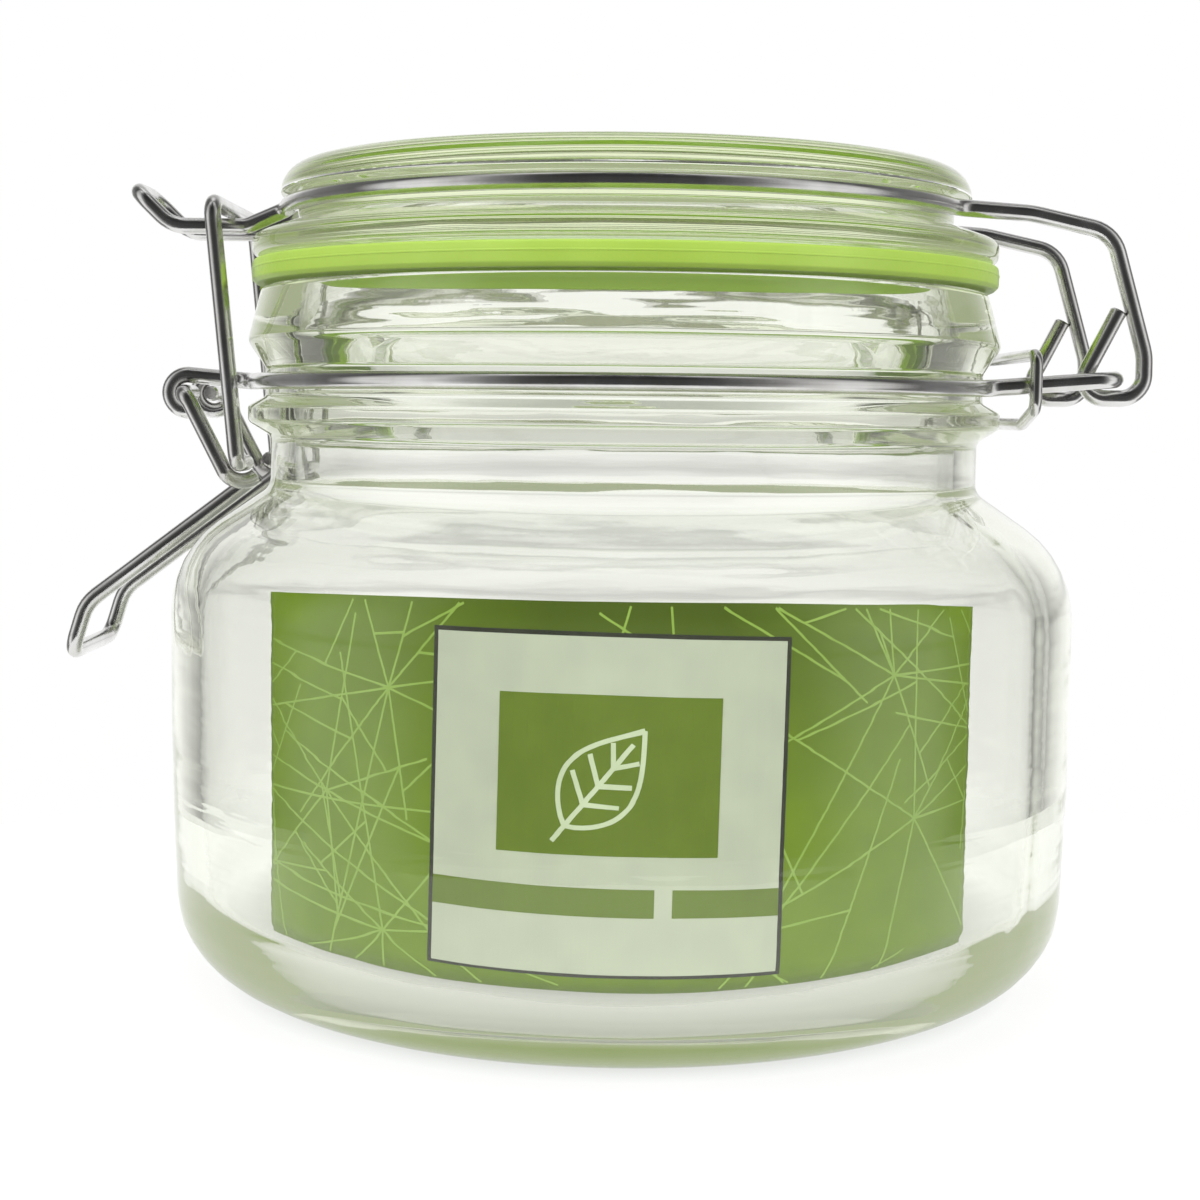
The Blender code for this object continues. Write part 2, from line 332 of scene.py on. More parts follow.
class Nodes:
    """A node tree, with short calls to add and join nodes."""

    def __init__(self, tree):
        self.tree = tree

    def add(self, kind, **inputs):
        node = self.tree.nodes.new(kind)
        for key, value in inputs.items():
            self.feed(node, key.replace("_", " "), value)
        return node

    def feed(self, node, socket, value):
        target = node.inputs[socket]
        if isinstance(value, bpy.types.NodeSocket):
            self.tree.links.new(value, target)
        else:
            target.default_value = value

    def maths(self, kind, *values):
        node = self.add("ShaderNodeMath")
        node.operation = kind
        for socket, value in enumerate(values):
            self.feed(node, socket, value)
        return node.outputs[0]

    def coords(self, scale=(1, 1, 1), uv=False):
        source = self.add("ShaderNodeTexCoord").outputs["UV" if uv else "Object"]
        return self.add("ShaderNodeMapping", Vector=source, Scale=scale).outputs["Vector"]

    def noise(self, vector, scale, detail=2.0, roughness=0.5):
        node = self.add("ShaderNodeTexNoise", Vector=vector, Scale=scale, Detail=detail,
                        Roughness=roughness)
        return node.outputs["Fac"]

    def spread(self, value, low, high, start=0.3, end=0.7):
        """value, mostly between start and end, spread to between low and high."""
        node = self.add("ShaderNodeMapRange", Value=value, From_Min=start, From_Max=end,
                        To_Min=low, To_Max=high)
        return node.outputs["Result"]

    def ramp(self, value, stops):
        """Greys that blend from stop to stop, each (position, grey)."""
        node = self.add("ShaderNodeValToRGB", Fac=value)
        elements = node.color_ramp.elements
        while len(elements) < len(stops):
            elements.new(0.5)
        for element, (at, grey) in zip(elements, stops):
            element.position = at
            element.color = (grey, grey, grey, 1)
        return node.outputs[0]

    def mix(self, share, first, second):
        node = self.add("ShaderNodeMix")
        node.data_type = "RGBA"
        for socket, value in (("Factor", share), (6, first), (7, second)):
            self.feed(node, socket, value)
        return node.outputs[2]

    def either(self, share, first, second):
        """The first shader where share is 0, the second where it is 1."""
        node = self.add("ShaderNodeMixShader")
        for socket, source in enumerate((share, first, second)):
            self.feed(node, socket, source)
        return node.outputs[0]

    def bump(self, height, distance, normal=None):
        node = self.add("ShaderNodeBump", Height=height, Distance=distance, Strength=1.0)
        if normal is not None:
            self.feed(node, "Normal", normal)
        return node.outputs["Normal"]


class Material(Nodes):
    """A new material's nodes, with its Principled shader and its output."""

    def __init__(self, name):
        self.material = bpy.data.materials.new(name)
        self.material.use_nodes = True
        super().__init__(self.material.node_tree)
        self.shader = self.tree.nodes["Principled BSDF"]
        self.output = self.tree.nodes["Material Output"]

    def set(self, **inputs):
        for key, value in inputs.items():
            self.feed(self.shader, key.replace("_", " "), value)


def glass(name, tint, density):
    """Clear moulded glass: soft ripple in its surface, fine handling marks, tint with depth.

    Lamps shine through it, so what stands inside the jar is lit as in a real glass jar. Light
    that stays trapped in the thick heel is shown as painted light, a fixed pale emission, not
    black."""
    n = Material(name)
    ripple = n.noise(n.coords(), 55.0, 1.5)
    streaks = n.noise(n.coords((0.5, 0.5, 5)), 42.0, 2.5)
    skin = n.noise(n.coords((1, 1, 0.35)), 420.0, 3.0)
    marks = n.noise(n.coords((1, 1, 3)), 900.0, 4.0, 0.65)
    normal = n.bump(ripple, 0.12 * MM)
    normal = n.bump(streaks, 0.10 * MM, normal)
    normal = n.bump(skin, 0.004 * MM, normal)
    n.set(Base_Color=(1, 1, 1, 1), IOR=1.517, Transmission_Weight=1.0, Normal=normal,
          Roughness=n.spread(marks, 0.0, 0.03, 0.45, 0.75))
    absorb = n.add("ShaderNodeVolumeAbsorption", Color=tint, Density=density)
    n.feed(n.output, "Volume", absorb.outputs[0])
    path = n.add("ShaderNodeLightPath")
    # painted light: past three mirrorings the glass shows a fixed pale grey-green emission in
    # place of black
    last_mirroring = 3.5
    trapped = n.maths("GREATER_THAN", path.outputs["Glossy Depth"], last_mirroring)
    painted_glow = n.add("ShaderNodeEmission", Color=(0.50, 0.52, 0.45, 1), Strength=1.0)
    clear = n.add("ShaderNodeBsdfTransparent", Color=(0.93, 0.96, 0.94, 1))
    surface = n.either(trapped, n.shader.outputs[0], painted_glow.outputs[0])
    surface = n.either(path.outputs["Is Shadow Ray"], surface, clear.outputs[0])
    n.feed(n.output, "Surface", surface)
    return n.material


def rubber():
    """Lime silicone: faintly uneven in colour, with a fine matt grain."""
    n = Material("lime_silicone")
    tone = n.noise(n.coords(), 130.0, 3.0)
    grain = n.noise(n.coords(), 2600.0, 2.0)
    n.set(Base_Color=n.mix(n.spread(tone, 0, 1), linear(154, 184, 74), linear(161, 191, 82)),
          Roughness=n.spread(grain, 0.36, 0.52), Specular_IOR_Level=0.45,
          Subsurface_Weight=0.03, Subsurface_Scale=1.2 * MM,
          Subsurface_Radius=(0.6, 1.0, 0.2),
          Normal=n.bump(grain, 0.012 * MM))
    return n.material


def steel(name, shade, diameter):
    """Bright plated wire: fine lines drawn along it, faint cloudiness and small handling marks."""
    n = Material(name)
    lines = n.noise(n.coords((0.05, 14, 1), uv=True), 5.0, 4.0, 0.7)
    cloud = n.noise(n.coords(), 160.0, 3.0)
    nicks = n.noise(n.coords(), 1500.0, 2.0)
    wear = n.noise(n.coords(), 420.0, 3.0)
    pale = tuple(c * shade for c in (0.80, 0.80, 0.79)) + (1.0,)
    dull = tuple(c * shade for c in (0.60, 0.59, 0.57)) + (1.0,)
    normal = n.bump(lines, 0.004 * diameter)
    normal = n.bump(nicks, 0.002 * diameter, normal)
    n.set(Base_Color=n.mix(n.spread(cloud, 0, 1), pale, dull), Metallic=1.0,
          Roughness=n.spread(wear, 0.10, 0.24), Normal=normal)
    return n.material


def card_ink(name, main, other, roughness=0.42, painted_shade=None):
    """Ink on coated card: an even colour with slight mottle over the card's fibres.

    The optional last argument, given the nodes and the colour, may paint shade over the colour."""
    n = Material(name)
    mottle = n.noise(n.coords(), 240.0, 4.0)
    fibres = n.noise(n.coords((1, 1, 0.4)), 3200.0, 3.0)
    colour = n.mix(n.spread(mottle, 0, 1), main, other)
    n.set(Base_Color=painted_shade(n, colour) if painted_shade else colour,
          Roughness=n.spread(fibres, roughness - 0.07, roughness + 0.07),
          Specular_IOR_Level=0.2, Normal=n.bump(fibres, 0.01 * MM))
    return n.material


def card_green():
    """The card's ground: green, darkened by painted shade towards its upper middle."""
    def painted_shade(n, colour):
        split = n.add("ShaderNodeSeparateXYZ")
        n.feed(split, 0, n.add("ShaderNodeTexCoord").outputs["UV"])
        high = n.spread(split.outputs["Y"], 0, 1, 0.45, 1.0)
        away = n.maths("ABSOLUTE", n.maths("SUBTRACT", split.outputs["X"], 0.52))
        inner = n.spread(away, 1, 0, 0.1, 0.45)
        # painted shade: a dark green blended in towards the card's upper middle
        return n.mix(n.maths("MULTIPLY", high, inner), colour, linear(70, 86, 12))

    return card_ink("card_green", linear(106, 132, 8), linear(114, 140, 12), 0.41, painted_shade)


# ---------------------------------------------------------------- glass and rubber

def seam_warp(radius, angle, z):
    """Two faint mould seams down the outer side, one about a sixth of a turn from the card."""
    seam_height = 0.12 * MM
    half_width = math.radians(1.6)
    reach = min(abs((angle - at + math.pi) % (2 * math.pi) - math.pi)
                for at in (math.radians(-32), math.radians(148)))
    lift = seam_height * max(0.0, 1 - reach / half_width)
    outside = radius > BORE_R + 1.5 * MM
    between = 8 * MM < z < RIM_Z - 1 * MM
    return (radius - seam_height + lift if outside and between else radius), z


def jar_outline():
    """From the floor's middle up the inside, over the rim and down the outside to the base."""
    slope = (NECK_FOOT_Z - SHOULDER_Z) / (BODY_R - NECK_R)
    drop = WALL * math.hypot(1, slope)

    def inner_slope_z(radius):
        return NECK_FOOT_Z - drop - (radius - NECK_R) * slope

    inner_r = BODY_R - WALL
    floor_top = FLOOR_Z + 0.6 * MM
    groove_r = NECK_RING_R - WIRE / 2 - GAP
    return [
        (0, floor_top, 0),
        (20 * MM, floor_top, 40 * MM),
        (34 * MM, FLOOR_Z, 30 * MM),
        (HEEL_R - WALL, FLOOR_Z, 8.5 * MM),
        (inner_r, TAPER_Z, 30 * MM),
        (inner_r, inner_slope_z(inner_r), 10 * MM),
        (BORE_R, inner_slope_z(BORE_R), 3 * MM),
        (BORE_R, RIM_Z, 1.2 * MM),
        (RIM_R, RIM_Z, 1.0 * MM),
        (BEAD_R, RIM_FOOT_Z, 1.4 * MM),
        (groove_r, GROOVE_HIGH_Z, 0.9 * MM),
        (groove_r, GROOVE_LOW_Z, 0.5 * MM),
        (BEAD_R, BEAD_HIGH_Z, 0.5 * MM),
        (BEAD_R, BEAD_LOW_Z, 0.8 * MM),
        (NECK_R, NECK_TOP_Z, 1.0 * MM),
        (NECK_R, NECK_FOOT_Z, 2 * MM),
        (BODY_R, SHOULDER_Z, 13 * MM),
        (BODY_R, TAPER_Z, 40 * MM),
        (HEEL_R, 0, 11 * MM),
        (FOOT_R, 0, 1.5 * MM),
        (FOOT_R - 3 * MM, PUSH_UP - 0.4 * MM, 3 * MM),
        (0, PUSH_UP, 0),
    ]


def build_jar():
    made = glass("jar_glass", (0.80, 0.87, 0.56, 1), 36.0)
    jar = turned("jar_glass_fine", jar_outline(), made, warp=seam_warp)
    place(jar, "jar", "jar_body")


def build_lid():
    """A dished top, a wire groove, a flange over the gasket and a plug with a hollow underside."""
    plug_z = LID_LOW.z
    hollow_z = plug_z + 1.6 * MM
    flange_low = plug_z + PLUG_DEPTH
    flange_top = flange_low + FLANGE_T
    groove_r = LID_RING_R - WIRE / 2 - GAP
    groove_low = LID_RING_Z - WIRE / 2 - 2 * GAP
    groove_high = LID_RING_Z + WIRE / 2 + GAP
    corners = [
        (0, TOP_Z - DISH_DEPTH, 0),
        (DISH_R - 1.5 * MM, TOP_Z - DISH_DEPTH, 1.5 * MM),
        (DISH_R + 0.3 * MM, TOP_Z, 1.5 * MM),
        (DOME_R, TOP_Z, 3.4 * MM),
        (DOME_R, groove_high + 0.3 * MM, 0.4 * MM),
        (groove_r, groove_high, 0.3 * MM),
        (groove_r, groove_low, 0.5 * MM),
        (FLANGE_R, flange_top, 1.1 * MM),
        (FLANGE_R, flange_low, 1.1 * MM),
        (PLUG_R, flange_low, 0.4 * MM),
        (PLUG_R - 0.4 * MM, plug_z, 1.2 * MM),
        (PLUG_R - 4 * MM, plug_z, 1.0 * MM),
        (PLUG_R - 6 * MM, hollow_z, 2.0 * MM),
        (0, hollow_z, 0),
    ]
    lid = turned("lid_glass_fine", corners, glass("lid_glass", (0.79, 0.87, 0.50, 1), 12.0))
    place(lid, "lid", "lid_glass")


def build_gasket():
    """A moulded ring: a parting line round its edge, and a thin lip hanging into the neck."""
    low, high = RIM_Z + GAP, GASKET_HIGH.z
    middle = (low + high) / 2 + 0.3 * MM
    line = 0.12 * MM
    wall_r = GASKET_R - 0.05 * MM
    lip_z = low - LIP_DEPTH
    corners = [
        (GASKET_BORE_R, high, 0.2 * MM),
        (GASKET_R - 0.15 * MM, high, 0.35 * MM),
        (wall_r, middle + line, 0),
        (GASKET_R, middle + line / 2, 0),
        (GASKET_R, middle - line / 2, 0),
        (wall_r, middle - line, 0),
        (GASKET_R - 0.08 * MM, low + 0.45 * MM, 0.3 * MM),
        (GASKET_R - 0.55 * MM, low, 0.3 * MM),
        (LIP_R, low, 0.2 * MM),
        (LIP_R, lip_z, 0.25 * MM),
        (GASKET_BORE_R, lip_z, 0.25 * MM),
        (GASKET_BORE_R, (low + high) / 2, 0),
    ]
    ring = turned("gasket_ring", corners, rubber(), closed=True, steps=6)
    ring.data.set_sharp_from_angle(angle=math.radians(20))
    place(ring, "lid", "gasket")


# ---------------------------------------------------------------- wires

def build_neck_wire(made):
    """An eye each side of the clasp, a ring round the neck, and the loop that the lid turns on."""
    eye = arc((PIVOT.x, PIVOT.z), LOOP_R, -50, -270, 9, -EYE_Y)
    ring = ring_side(NECK_RING_R, NECK_RING_Z, EYE_Y, LEG_Y, 2.2 * MM, 3 * MM)
    loop = [((HINGE.x, -LEG_Y, HINGE.z), 2.4 * MM), ((HINGE.x, 0, HINGE.z), 0)]
    path = eye[:-1] + rounded([(eye[-1], 0)] + ring + loop)
    place(swept("neck_wire_fine", mirrored(path), WIRE, made), "jar", "neck_wire")


def build_lid_wire(made):
    """A hook each side of the hinge, a ring round the lid, and the nose that the link holds."""
    tip_x, tip_z = 55.9 * MM, 79.2 * MM
    inner_x, outer_x = 50.9 * MM, 58.95 * MM
    foot_z = HINGE.z - LOOP_R
    knee_x, knee_z = 58.9 * MM, 74.2 * MM
    elbow_x, elbow_z = 54.9 * MM, 87.9 * MM
    meet_x, meet_z = 45.8 * MM, 89.9 * MM
    root_x, rise_x, end_x = -44.7 * MM, -53.5 * MM, -57.8 * MM
    end_z = 92.6 * MM
    hook = [
        ((tip_x, -HOOK_Y, tip_z), 0),
        ((inner_x, -HOOK_Y, foot_z), 2.2 * MM),
        ((outer_x, -HOOK_Y, foot_z), 2.6 * MM),
        ((knee_x, -HOOK_Y, knee_z), 6 * MM),
        ((elbow_x, -HOOK_Y, elbow_z), 4 * MM),
        ((meet_x, -HOOK_Y, meet_z), 12 * MM),
    ]
    ring = ring_side(LID_RING_R, LID_RING_Z, NOSE_Y, HOOK_Y, 1.6 * MM, 3 * MM)
    nose = [
        ((root_x, -NOSE_Y, NOSE_Z), 3 * MM),
        ((rise_x, -NOSE_Y, NOSE_Z), 4 * MM),
        ((end_x, -NOSE_Y, end_z), 2.6 * MM),
        ((end_x, 0, end_z), 0),
    ]
    path = rounded(hook + ring[::-1] + nose)
    place(swept("lid_wire_fine", mirrored(path), WIRE, made), "lid", "lid_wire")


def build_lever(made):
    """Two stubs in the neck wire's eyes, a coil below each, and the handle between the coils."""
    crank, pivot = (CRANK.x, CRANK.z), (PIVOT.x, PIVOT.z)
    stub = rounded([((PIVOT.x, -EYE_Y + 2.4 * MM, PIVOT.z), 0),
                    ((PIVOT.x, -ARM_Y, PIVOT.z), 1.5 * MM),
                    ((CRANK.x, -ARM_Y, CRANK.z), 0)])[:-1]
    meet = tangent_from(pivot, crank, LOOP_R)
    leave = 360 + tangent_from(HANDLE_BEND, crank, -LOOP_R)
    coil = arc(crank, LOOP_R, meet, leave, 9, -ARM_Y, -HANDLE_Y)
    handle = rounded([
        (coil[-1], 0),
        ((HANDLE_BEND[0], -HANDLE_Y, HANDLE_BEND[1]), 5 * MM),
        ((HANDLE_END[0], -HANDLE_Y, HANDLE_END[1]), 2.2 * MM),
        ((HANDLE_END[0], 0, HANDLE_END[1]), 0),
    ])
    path = mirrored(stub + coil[:-1] + handle)
    place(swept("clasp_lever_fine", path, WIRE, made), "lever", "clasp_lever")


def build_link(made):
    """A plain bail: two ends in the lever's coils, two legs and the bar over the nose."""
    path = rounded([
        ((CRANK.x, -EYE_Y, CRANK.z), 0),
        ((CRANK.x, -LINK_Y, CRANK.z), 1.5 * MM),
        ((LINK_BAR[0], -LINK_Y, LINK_BAR[1]), 2.2 * MM),
        ((LINK_BAR[0], 0, LINK_BAR[1]), 0),
    ])
    place(swept("clasp_link_fine", mirrored(path), WIRE, made), "link", "clasp_link")


def build_keeper(made):
    """A closed loop of thin wire round the neck wire's two legs, next to the neck."""
    x = BEAD_R + KEEPER_WIRE / 2 + GAP
    side = LEG_Y + WIRE / 2 + GAP + KEEPER_WIRE / 2
    high, low, dip = 74.0 * MM, 68.0 * MM, 66.2 * MM
    half = rounded([
        ((x, 0, high), 0),
        ((x, -side, high), 1.5 * MM),
        ((x, -side, low), 1.5 * MM),
        ((x, -0.6 * side, dip), 6 * MM),
        ((x, 0, dip), 0),
    ])
    loop = mirrored(half)[:-1]
    keeper = swept("hinge_keeper_fine", loop, KEEPER_WIRE, made, closed=True)
    place(keeper, "jar", "hinge_keeper")


# ---------------------------------------------------------------- card

def on_card(s, t, lift=0.0):
    """The point at s across and t up from the card's middle, lift outward from its face.

    The card is cut a little lower towards its two ends, and its print follows."""
    t *= 1 - CARD_CROWN * (2 * s / CARD_WIDTH) ** 2
    along = s * math.cos(CARD_TILT) + t * math.sin(CARD_TILT)
    z = CARD_MID_Z + t * math.cos(CARD_TILT) - s * math.sin(CARD_TILT)
    angle = along / CARD_R
    r = CARD_R + lift
    return Vector((r * math.sin(angle), -r * math.cos(angle), z))


def add_slab(bm, outline, low, high):
    """A thin closed plate on the card. outline is two equal rows of (s, t), below and above."""
    below, above = outline
    layers = [[[bm.verts.new(on_card(s, t, lift)) for s, t in row] for row in (below, above)]
              for lift in (low, high)]
    (bottom_0, bottom_1), (top_0, top_1) = layers
    quads = []
    for i in range(len(below) - 1):
        j = i + 1
        quads.append((top_0[i], top_0[j], top_1[j], top_1[i]))
        quads.append((bottom_0[j], bottom_0[i], bottom_1[i], bottom_1[j]))
        quads.append((bottom_0[i], bottom_0[j], top_0[j], top_0[i]))
        quads.append((bottom_1[j], bottom_1[i], top_1[i], top_1[j]))
    for i, sign in ((0, 1), (-1, -1)):
        quads.append((bottom_0[i], top_0[i], top_1[i], bottom_1[i])[::sign])
    for quad in quads:
        bm.faces.new(quad)


def panel_turned(s, t):
    """The printed panel stands a little askew on the card."""
    return (s * math.cos(PANEL_TURN) + t * math.sin(PANEL_TURN),
            t * math.cos(PANEL_TURN) - s * math.sin(PANEL_TURN))


def rectangle(left, right, low, high, step=1.5 * MM):
    """Both edges of an upright block of print, as stroke gives those of a line."""
    count = max(1, math.ceil((right - left) / step))
    across = [left + (right - left) * i / count for i in range(count + 1)]
    return [panel_turned(s, low) for s in across], [panel_turned(s, high) for s in across]


def stroke(points, width, step=1.5 * MM):
    """Both edges of a line of even width through points (s, t)."""
    fine = [Vector(points[0])]
    for a, b in zip(points, points[1:]):
        a, b = Vector(a), Vector(b)
        count = max(1, math.ceil((b - a).length / step))
        fine += [a.lerp(b, i / count) for i in range(1, count + 1)]
    low, high = [], []
    for i, p in enumerate(fine):
        way = (fine[min(i + 1, len(fine) - 1)] - fine[max(i - 1, 0)]).normalized()
        out = Vector((-way.y, way.x)) * width / 2
        low.append(tuple(p - out))
        high.append(tuple(p + out))
    return low, high


def finish_print(name, bm, *materials):
    """The card or a layer of its print as a piece that stands in the jar."""
    bmesh.ops.recalc_face_normals(bm, faces=bm.faces)
    mesh = bpy.data.meshes.new(name)
    bm.to_mesh(mesh)
    bm.free()
    piece = new_object(name, mesh, materials)
    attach(piece, "jar")
    return piece


def clip(a, b, low_s, high_s, low_t, high_t):
    """The stretch of the line from a to b that lies in a rectangle, or None."""
    first, last = 0.0, 1.0
    for k, (low, high) in enumerate(((low_s, high_s), (low_t, high_t))):
        step = b[k] - a[k]
        if abs(step) < 1e-9:
            if not low <= a[k] <= high:
                return None
            continue
        enter, leave = sorted(((low - a[k]) / step, (high - a[k]) / step))
        first, last = max(first, enter), min(last, leave)
    if last - first < 1e-3:
        return None
    return [tuple(a[k] + (b[k] - a[k]) * share for k in (0, 1)) for share in (first, last)]


def ray_lines():
    """Fine straight lines that fan out from a few nodes, with short cross lines between them."""
    rng = random.Random(7)
    # in millimetres here, and in metres when they are returned
    nodes = [(-24.5, 11.0), (-25.0, -15.0), (33.5, -3.0), (4.0, 30.0), (-44.0, -2.0),
             (20.0, -24.0), (30.0, 13.0), (44.0, 6.0), (-33.0, -1.0)]
    lines = []
    for s, t in nodes:
        turn = rng.uniform(0, 30)
        spokes = []
        angle = turn
        while angle < turn + 350:
            length = rng.choice((14, 20, 30, 42))
            end = (s + length * math.cos(math.radians(angle)),
                   t + length * math.sin(math.radians(angle)))
            spokes.append((s, t, end))
            angle += rng.uniform(22, 62)
        for x, y, end in spokes:
            lines.append(((x, y), end))
        for (x, y, one), (_, _, two) in zip(spokes, spokes[1:]):
            if rng.random() < 0.7:
                share, other = rng.uniform(0.35, 0.9), rng.uniform(0.35, 0.9)
                lines.append(((x + (one[0] - x) * share, y + (one[1] - y) * share),
                              (x + (two[0] - x) * other, y + (two[1] - y) * other)))
    return [((a[0] * MM, a[1] * MM), (b[0] * MM, b[1] * MM)) for a, b in lines]


def leaf(centre, size):
    """Strokes of a plain leaf: two curved edges, a midrib and three pairs of veins."""
    s0, t0 = centre
    lean = math.radians(52)
    rows = []

    def turn(x, y):
        return panel_turned(s0 + size * (x * math.cos(lean) - y * math.sin(lean)),
                            t0 + size * (x * math.sin(lean) + y * math.cos(lean)))

    def edge(x):
        return 0.30 * math.sin(math.pi * min(1.0, max(0.0, x + 0.5)) ** 0.8)

    steps = [i / 24 - 0.5 for i in range(25)]
    for sign in (1, -1):
        rows.append([turn(x, sign * edge(x)) for x in steps])
    rows.append([turn(-0.66, 0), turn(0.36, 0)])
    for x in (-0.27, -0.08, 0.11):
        for sign in (1, -1):
            rows.append([turn(x, 0), turn(x + 0.16, sign * edge(x + 0.16) * 0.8)])
    return rows


def build_card():
    """The curved card, with its print as thin layers that stand a little off it."""
    build_sheet()
    build_lines()
    build_panel()
    build_blocks()
    build_emblem()


def build_sheet():
    sheet = bmesh.new()
    uv = sheet.loops.layers.uv.new("UVMap")
    across, up = 96, 12
    front, back = 0, 1
    grid = {}
    for side, lift in ((front, 0.0), (back, -CARD_T)):
        for i in range(across + 1):
            for j in range(up + 1):
                s = CARD_WIDTH * (i / across - 0.5)
                t = CARD_HEIGHT * (j / up - 0.5)
                grid[side, i, j] = sheet.verts.new(on_card(s, t, lift))

    def quad(keys, index, smooth=False):
        face = sheet.faces.new([grid[key] for key in keys])
        face.material_index = index
        face.smooth = smooth
        for loop, (_, i, j) in zip(face.loops, keys):
            loop[uv].uv = (i / across, j / up)

    def cell(side, i, j):
        return [(side, i, j), (side, i + 1, j), (side, i + 1, j + 1), (side, i, j + 1)]

    for i in range(across):
        for j in range(up):
            quad(cell(front, i, j), 0, True)
            quad(cell(back, i, j)[::-1], 1, True)
    for i in range(across):
        quad([(back, i, 0), (back, i + 1, 0), (front, i + 1, 0), (front, i, 0)], 1)
        quad([(front, i, up), (front, i + 1, up), (back, i + 1, up), (back, i, up)], 1)
    for j in range(up):
        quad([(front, 0, j), (front, 0, j + 1), (back, 0, j + 1), (back, 0, j)], 1)
        quad([(front, across, j + 1), (front, across, j), (back, across, j),
              (back, across, j + 1)], 1)
    board = card_ink("card_board", linear(214, 212, 202), linear(204, 202, 192), 0.7)
    card = finish_print("card_sheet", sheet, card_green(), board)
    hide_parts("card_insert")


def build_lines():
    line, edge = 0.24 * MM, 0.4 * MM
    most_s, most_t = CARD_WIDTH / 2 - edge, CARD_HEIGHT / 2 - edge
    strokes = bmesh.new()
    for a, b in ray_lines():
        kept = clip(a, b, -most_s, most_s, -most_t, most_t)
        if kept:
            add_slab(strokes, stroke(kept, line), 0.004 * MM, 0.016 * MM)
    ink = card_ink("card_line_ink", linear(152, 180, 84), linear(140, 170, 70))
    finish_print("card_lines", strokes, ink)


def build_panel():
    """The pale panel and the dark rule round it."""
    rule = 0.45 * MM
    outline = bmesh.new()
    add_slab(outline, rectangle(PANEL_LEFT - rule, PANEL_RIGHT + rule,
                                PANEL_LOW - rule, PANEL_HIGH + rule), 0.02 * MM, 0.03 * MM)
    dark = card_ink("card_black_ink", linear(38, 40, 30), linear(52, 52, 42))
    finish_print("card_outline", outline, dark)
    panel = bmesh.new()
    add_slab(panel, rectangle(PANEL_LEFT, PANEL_RIGHT, PANEL_LOW, PANEL_HIGH),
             0.034 * MM, 0.046 * MM)
    grey = card_ink("card_grey_ink", linear(196, 200, 182), linear(188, 192, 176))
    finish_print("card_panel", panel, grey)


def build_blocks():
    """The green square and, under it, the band with its break."""
    blocks = bmesh.new()
    for left, right, low, high in (
            (SQUARE_LEFT, SQUARE_LEFT + SQUARE_WIDTH, SQUARE_LOW, SQUARE_LOW + SQUARE_HEIGHT),
            (PANEL_LEFT, BAND_BREAK, BAND_LOW, BAND_HIGH),
            (BAND_BREAK + BREAK_WIDTH, PANEL_RIGHT, BAND_LOW, BAND_HIGH)):
        add_slab(blocks, rectangle(left, right, low, high), 0.05 * MM, 0.062 * MM)
    ink = card_ink("card_block_ink", linear(104, 124, 30), linear(98, 118, 24))
    finish_print("card_blocks", blocks, ink)


def build_emblem():
    """The leaf in the square."""
    line, size = 0.5 * MM, 12.5 * MM
    centre = (SQUARE_LEFT + 10.7 * MM, SQUARE_LOW + 7.9 * MM)
    emblem = bmesh.new()
    for row in leaf(centre, size):
        add_slab(emblem, stroke(row, line, 0.8 * MM), 0.066 * MM, 0.078 * MM)
    ink = card_ink("card_pale_ink", linear(210, 218, 190), linear(198, 208, 176))
    finish_print("card_leaf", emblem, ink)


# ---------------------------------------------------------------- stage

def build_stage():
    """A pale round table top with a painted shadow, softly darker under the jar. Its edge melts
    into the white.

    The glass base shows a little more of the painted shadow than the open floor does."""
    bm = bmesh.new()
    bmesh.ops.create_circle(bm, cap_ends=True, segments=96, radius=2.3 * BODY_R)
    mesh = bpy.data.meshes.new("floor")
    bm.to_mesh(mesh)
    bm.free()
    n = Material("pale_floor")
    speckle = n.noise(n.coords(), 40.0, 2.0)
    from_jar = n.add("ShaderNodeVectorMath")
    from_jar.operation = "LENGTH"
    n.feed(from_jar, 0, n.add("ShaderNodeTexCoord").outputs["Object"])
    distance = from_jar.outputs["Value"]
    # painted shadow: the floor's emission is dimmed under the jar, and a little further out where
    # seen through the glass
    dark, bright = 0.28, 0.84
    direct = n.spread(distance, dark, bright, 0.64 * BODY_R, 0.90 * BODY_R)
    through = n.spread(distance, dark, bright, 0.64 * BODY_R, 1.12 * BODY_R)
    shade = n.mix(n.add("ShaderNodeLightPath").outputs["Is Camera Ray"], through, direct)
    n.set(Base_Color=n.mix(speckle, (0.12, 0.12, 0.12, 1), (0.15, 0.15, 0.15, 1)), Roughness=0.8,
          Specular_IOR_Level=0.1, Emission_Color=(1, 1, 1, 1), Emission_Strength=shade)
    floor = new_object("floor", mesh, [n.material])
    floor.location.z = -0.2 * MM


def lamp(name, at, size, power):
    """A soft box aimed at the jar, which glass and wire don't mirror."""
    data = bpy.data.lights.new(name, "AREA")
    data.shape = "RECTANGLE"
    data.size, data.size_y = size
    data.energy = power
    obj = bpy.data.objects.new(name, data)
    obj.location = at
    aim = Vector((0, 0, TOP_Z / 2)) - Vector(at)
    obj.rotation_euler = aim.to_track_quat("-Z", "Y").to_euler()
    obj.visible_glossy = False
    obj.visible_transmission = False
    bpy.context.scene.collection.objects.link(obj)


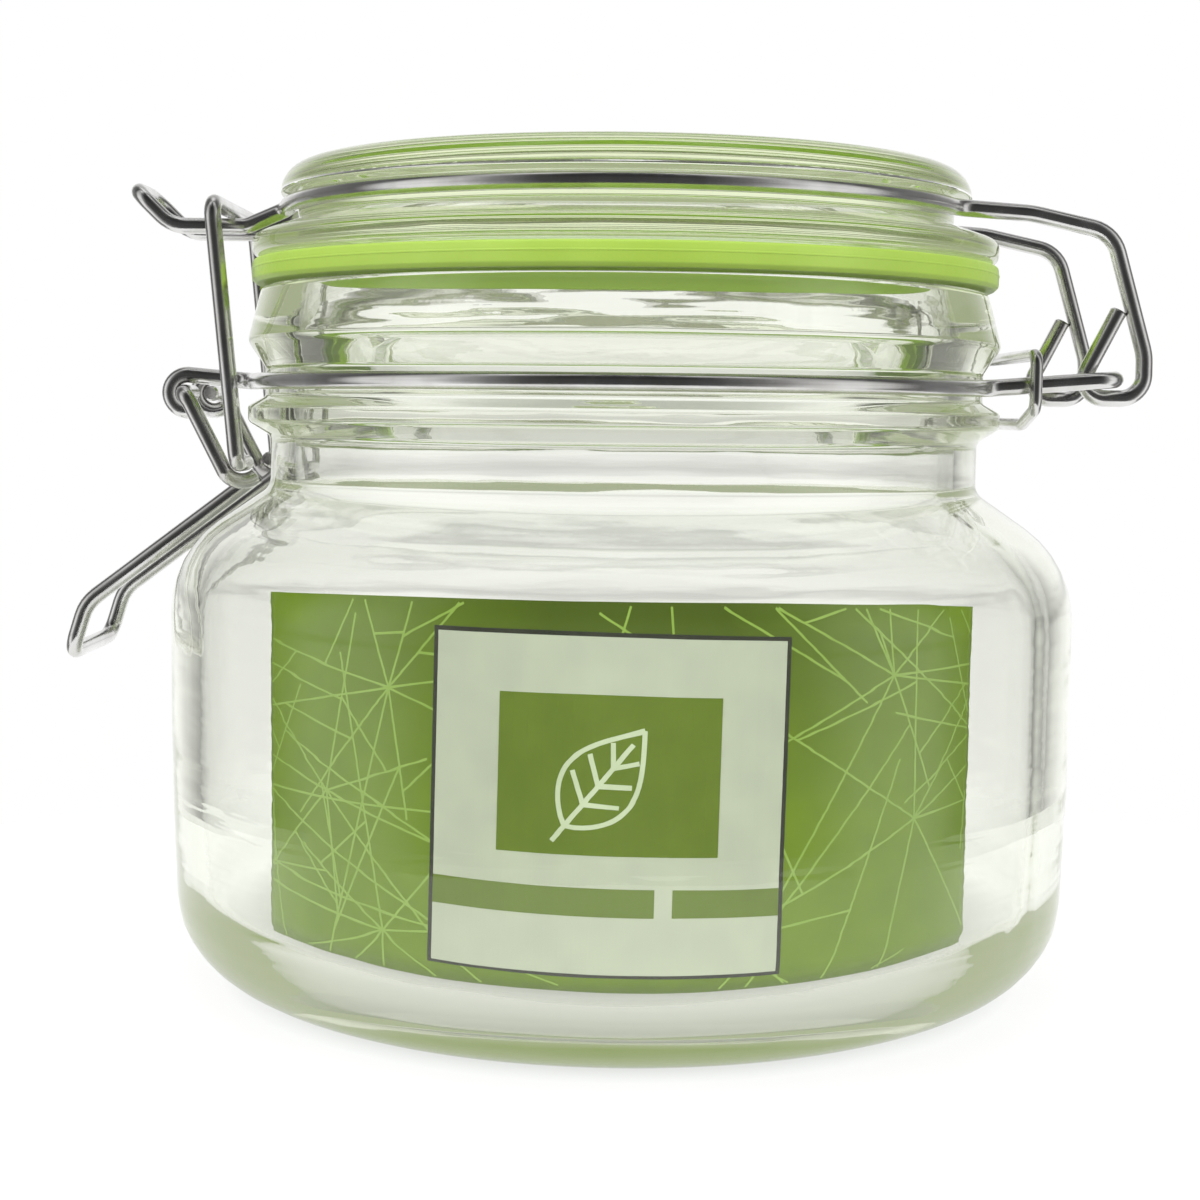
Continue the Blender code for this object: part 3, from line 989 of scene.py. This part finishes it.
def build_world():
    """A photo table: a white wall behind, tall white panels each side, dark in front and above.

    Seen directly it is plain white. Wires mirror the dark in front, and glass shows it paler."""
    world = bpy.data.worlds.new("studio")
    bpy.context.scene.world = world
    world.use_nodes = True
    world.node_tree.nodes.clear()
    n = Nodes(world.node_tree)
    split = n.add("ShaderNodeSeparateXYZ")
    n.feed(split, 0, n.add("ShaderNodeTexCoord").outputs["Generated"])
    path = n.add("ShaderNodeLightPath")
    # 0 straight down, 0.5 level, 1 straight up
    height = n.maths("MULTIPLY_ADD", n.maths("ARCSINE", split.outputs["Z"]), 1 / math.pi, 0.5)
    by_height = n.ramp(height, [(0.0, 1.0), (0.44, 1.0), (0.475, 0.95), (0.488, 0.92),
                                (0.500, 0.66), (0.515, 0.93), (0.60, 0.92), (0.69, 0.65),
                                (0.82, 0.45), (0.89, 1.0), (1.0, 1.0)])
    # 0 behind the jar, 1 in front of it, on either side
    turn = n.maths("ABSOLUTE", n.maths("ARCTAN2", split.outputs["X"], split.outputs["Y"]))
    turn = n.maths("DIVIDE", turn, math.pi)
    behind = [(0.0, 0.97), (0.16, 0.98), (0.26, 0.30), (0.47, 0.12), (0.55, 0.9), (0.66, 0.9)]
    mirrored_front = n.ramp(turn, behind + [(0.74, 0.3), (0.84, 0.07), (1.0, 0.05)])
    through_front = n.ramp(turn, behind + [(0.76, 0.5), (1.0, 0.72)])
    by_turn = n.mix(path.outputs["Is Transmission Ray"], mirrored_front, through_front)
    level = n.maths("MULTIPLY", by_height, by_turn)
    studio = n.add("ShaderNodeBackground", Color=level, Strength=1.1)
    plain = n.add("ShaderNodeBackground", Color=(1, 1, 1, 1), Strength=1.0)
    shown = n.either(path.outputs["Is Camera Ray"], studio.outputs[0], plain.outputs[0])
    n.add("ShaderNodeOutputWorld", Surface=shown)


def build_lamps():
    lamp("top_box", (-0.10, -0.10, 0.60), (0.6, 0.5), 3.4)
    lamp("left_box", (-0.55, -0.50, 0.25), (0.4, 0.5), 4.2)
    lamp("right_box", (0.60, -0.40, 0.25), (0.4, 0.5), 4.2)
    lamp("back_box", (0.25, 0.60, 0.35), (0.4, 0.4), 2.5)


def build_camera():
    """A 62 mm view from a quarter of a metre, a little above the jar's middle, tipped down."""
    distance, height = 252 * MM, 67.6 * MM
    data = bpy.data.cameras.new("camera")
    data.sensor_width = 36.0
    data.lens = 62.2
    data.clip_start = 10 * MM
    obj = bpy.data.objects.new("camera", data)
    obj.location = (0, -distance, height)
    pitch, yaw, roll = math.radians(5.3), math.radians(0.58), math.radians(0.65)
    turned_to = (Matrix.Rotation(yaw, 4, "Z") @ Matrix.Rotation(math.pi / 2 - pitch, 4, "X")
                 @ Matrix.Rotation(roll, 4, "Z"))
    obj.rotation_euler = turned_to.to_euler()
    bpy.context.scene.collection.objects.link(obj)
    bpy.context.scene.camera = obj


def main():
    scene = bpy.context.scene
    scene.view_settings.view_transform = "Standard"
    build_camera()
    build_world()
    build_lamps()
    build_stage()
    build_jar()
    build_lid()
    build_gasket()
    wire_steel = steel("wire_steel", 1.0, WIRE)
    build_neck_wire(wire_steel)
    build_lid_wire(wire_steel)
    build_lever(wire_steel)
    build_link(wire_steel)
    build_keeper(steel("keeper_steel", 0.95, KEEPER_WIRE))
    build_card()


main()
bpy.context.view_layer.update()
